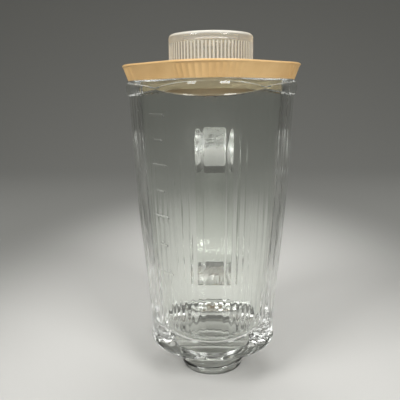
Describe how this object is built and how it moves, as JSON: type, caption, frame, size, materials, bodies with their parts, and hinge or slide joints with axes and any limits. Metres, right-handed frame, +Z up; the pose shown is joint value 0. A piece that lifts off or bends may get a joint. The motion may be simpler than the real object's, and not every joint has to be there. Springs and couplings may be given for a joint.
{
  "type": "blender jar",
  "caption": "Glass blender jar of rounded-square plan that runs out into a clover foot and a round neck, with a moulded handle, a soft vinyl lid and a clear ribbed measuring cap.",
  "frame": {"origin": "centre of the neck's foot, where the jar stands, at the open lower end of the throat", "axes": "+Z up through the throat and the mouth, +Y towards the handle, X across the two side lobes"},
  "size_m": [0.1276, 0.1642, 0.2524],
  "materials": {
    "pressed_glass": "clear pressed glass",
    "tan_vinyl": "soft satin vinyl",
    "clear_plastic": "clear moulded plastic"
  },
  "bodies": {
    "jar": {"glass_jar": "pressed_glass"},
    "lid": {"lid": "tan_vinyl"},
    "cap": {"measuring_cap": "clear_plastic"}
  },
  "joints": [
    {"name": "lid_lift", "type": "slide", "parent": "jar", "child": "lid", "axis": [0, 0, 1], "range_m": [0, 0.06]},
    {"name": "cap_lift", "type": "slide", "parent": "lid", "child": "cap", "axis": [0, 0, 1], "range_m": [0, 0.04]}
  ]
}
